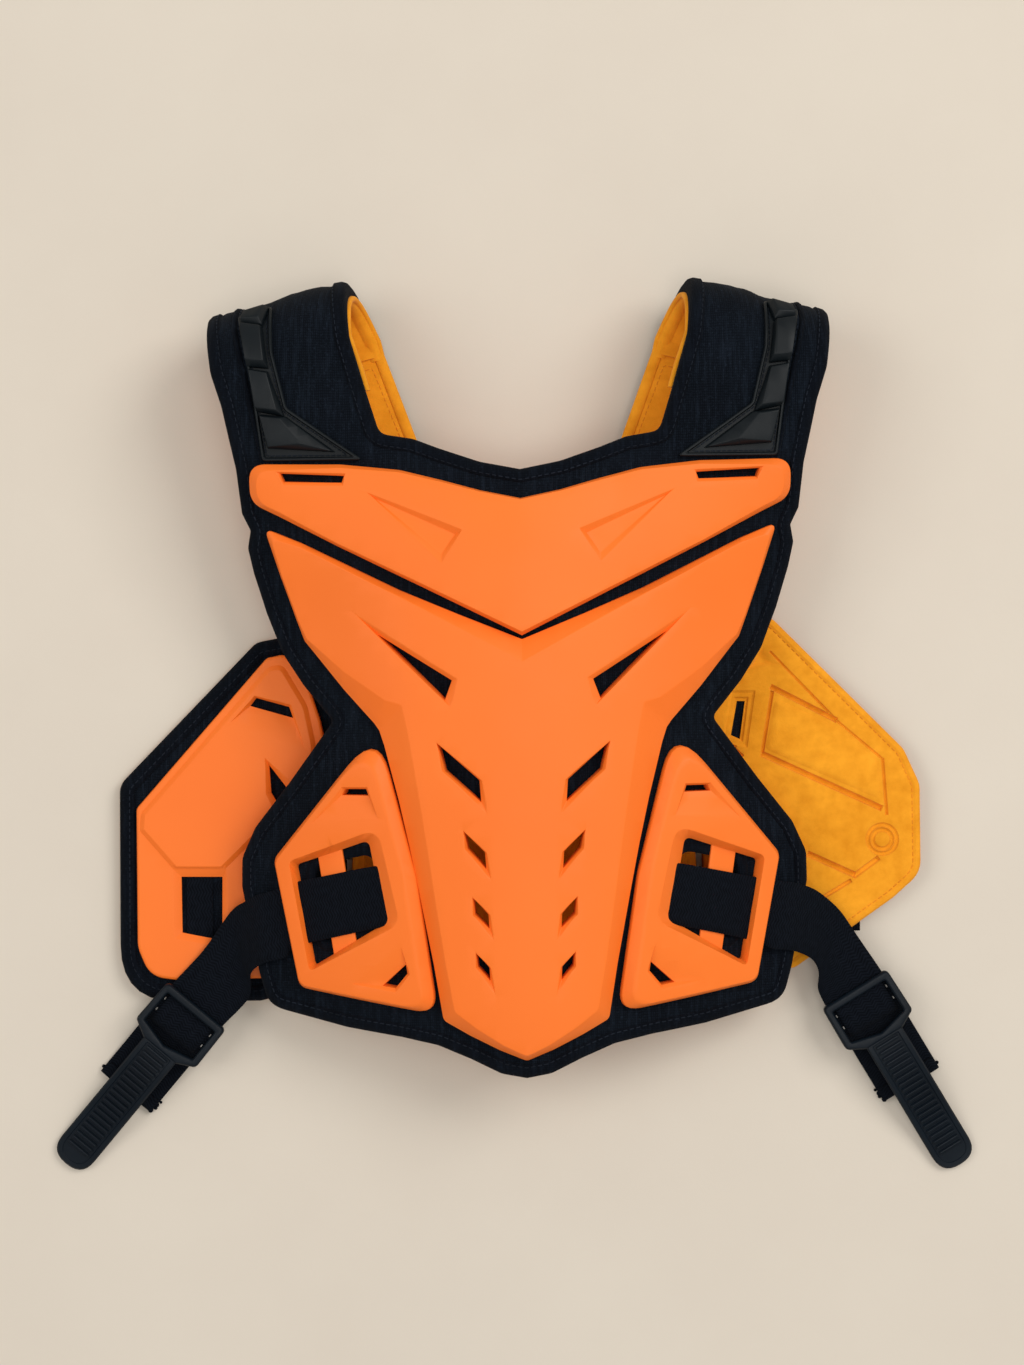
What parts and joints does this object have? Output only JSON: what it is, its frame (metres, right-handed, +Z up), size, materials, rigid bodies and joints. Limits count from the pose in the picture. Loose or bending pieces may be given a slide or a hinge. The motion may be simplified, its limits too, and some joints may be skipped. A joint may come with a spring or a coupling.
{
  "type": "roost deflector",
  "caption": "Padded chest and back protector with moulded plates, folded shoulder straps, side guards and webbing straps with pull-tab hooks, lying on its back.",
  "frame": {"origin": "under the middle of the whole object, on the surface that it lies on", "axes": "+Z up out of the front panel, +Y towards the shoulders, +X to the right as seen from above"},
  "size_m": [0.5192, 0.5006, 0.0904],
  "materials": {
    "navy_fabric": "dark navy woven textile over foam",
    "yellow_lining": "brushed yellow-orange lining",
    "orange_shell": "satin injection-moulded plastic",
    "black_rubber": "matte moulded rubber",
    "webbing": "woven webbing",
    "hook_plastic": "satin moulded nylon"
  },
  "bodies": {
    "root": {"front_pad": "navy_fabric", "front_lining": "yellow_lining", "chest_plate_upper": "orange_shell", "chest_plate_lower": "orange_shell", "rib_plate_left": "orange_shell", "rib_plate_right": "orange_shell", "back_plate": "orange_shell", "back_pad": "navy_fabric", "back_lining": "yellow_lining", "shoulder_strap_left": "navy_fabric", "shoulder_strap_right": "navy_fabric", "strap_lining_left": "yellow_lining", "strap_lining_right": "yellow_lining", "shoulder_guard_left": "black_rubber", "shoulder_guard_right": "black_rubber", "side_guard_left_lining": "yellow_lining", "side_guard_left_pad": "navy_fabric", "side_guard_left_shell": "orange_shell", "side_guard_right_shell": "orange_shell", "side_guard_right_pad": "navy_fabric", "side_guard_right_lining": "yellow_lining", "guard_webbing_left": "webbing", "guard_webbing_right": "webbing", "side_strap_left": "webbing", "side_strap_right": "webbing", "strap_hook_left": "hook_plastic", "strap_hook_right": "hook_plastic"}
  },
  "joints": []
}
